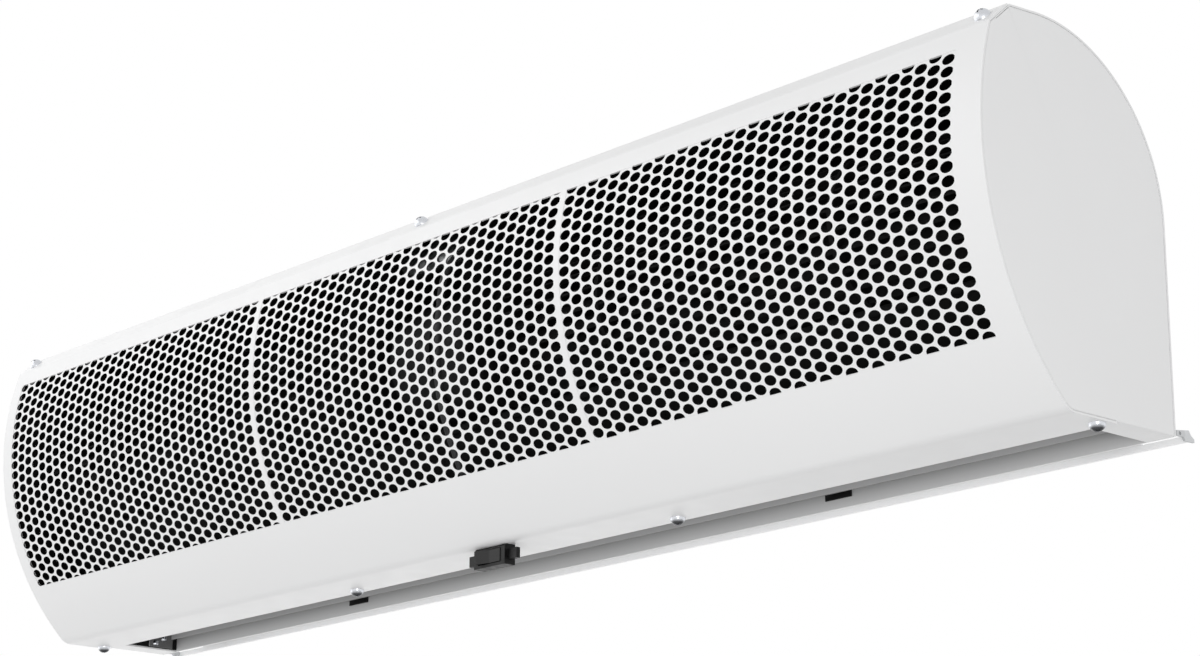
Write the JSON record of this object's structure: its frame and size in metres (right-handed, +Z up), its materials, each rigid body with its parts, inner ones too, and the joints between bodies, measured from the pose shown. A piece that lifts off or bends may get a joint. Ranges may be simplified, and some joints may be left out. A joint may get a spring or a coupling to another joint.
{
  "type": "air curtain",
  "caption": "Wall-hung air curtain with a bowed perforated intake, two blower wheels on one motor, a downward outlet slot, a rocker switch and wall brackets.",
  "frame": {"origin": "centre of the four wall screws, on the wall plane behind the brackets", "axes": "X along the casing, +X its right end seen from the front; -Y out of the bowed front, +Y into the wall; +Z up, the outlet faces down"},
  "size_m": [1, 0.1724, 0.2364],
  "materials": {
    "white_paint": "smooth white powder coat",
    "screen_paint": "white paint on perforated sheet",
    "galvanised": "galvanised sheet steel",
    "screw_steel": "zinc-plated screws",
    "wheel_metal": "bare aluminium",
    "shaft_steel": "ground steel",
    "motor_paint": "black enamel",
    "winding": "varnished copper",
    "rubber": "black rubber",
    "bush_bronze": "sintered bronze",
    "black_plastic": "fine-grained black plastic",
    "rocker_plastic": "glossy black plastic",
    "capacitor_can": "drawn aluminium can",
    "terminal_plastic": "ivory plastic",
    "lead_sheath": "dark grey sheath"
  },
  "bodies": {
    "housing": {"rear_panel": "white_paint", "front_cover": "white_paint", "intake_screen_left": "screen_paint", "intake_screen_centre": "screen_paint", "intake_screen_right": "screen_paint", "end_plate_left": "white_paint", "end_plate_right": "white_paint", "cover_screws_top": "screw_steel", "cover_screws_bottom": "screw_steel", "outlet_rear_wall": "galvanised", "rear_wall_clips": "black_plastic", "rear_wall_screws": "screw_steel", "front_air_guide": "galvanised", "scroll_left": "galvanised", "scroll_right": "galvanised", "end_bulkhead_left": "galvanised", "end_bulkhead_right": "galvanised", "motor_bulkhead_left": "galvanised", "motor_bulkhead_right": "galvanised", "bulkhead_screws": "screw_steel", "motor_bay_floor": "galvanised", "motor_shell_left": "motor_paint", "motor_shell_right": "motor_paint", "motor_stator": "winding", "motor_bearings": "shaft_steel", "motor_rubber_rings": "rubber", "motor_ring_brackets": "galvanised", "ring_bracket_screws": "screw_steel", "bearing_housings": "galvanised", "bearing_rubbers": "rubber", "bearing_bushes": "bush_bronze", "electrics_shelf": "galvanised", "run_capacitor": "capacitor_can", "capacitor_clamp": "galvanised", "terminal_block": "terminal_plastic", "cable_grommet": "rubber", "motor_lead": "lead_sheath", "switch_lead": "lead_sheath", "switch_body": "black_plastic", "wall_bracket_left": "galvanised", "wall_bracket_right": "galvanised", "wall_rail": "white_paint", "wall_rail_screws": "screw_steel", "rail_lugs": "galvanised", "hanging_studs": "screw_steel"},
    "fan": {"motor_rotor": "shaft_steel", "fan_wheel_left": "wheel_metal", "fan_wheel_right": "wheel_metal", "wheel_hubs": "shaft_steel", "stub_shafts": "shaft_steel"},
    "rocker": {"switch_rocker": "rocker_plastic"}
  },
  "joints": [
    {"name": "fan_spin", "type": "hinge", "parent": "housing", "child": "fan", "pos_m": [0, -0.105, 0.0092], "axis": [1, 0, 0], "continuous": true},
    {"name": "rocker_tilt", "type": "hinge", "parent": "housing", "child": "rocker", "pos_m": [0.017, -0.1045, -0.12675], "axis": [0, 0, 1], "range_deg": [-14, 0]}
  ]
}
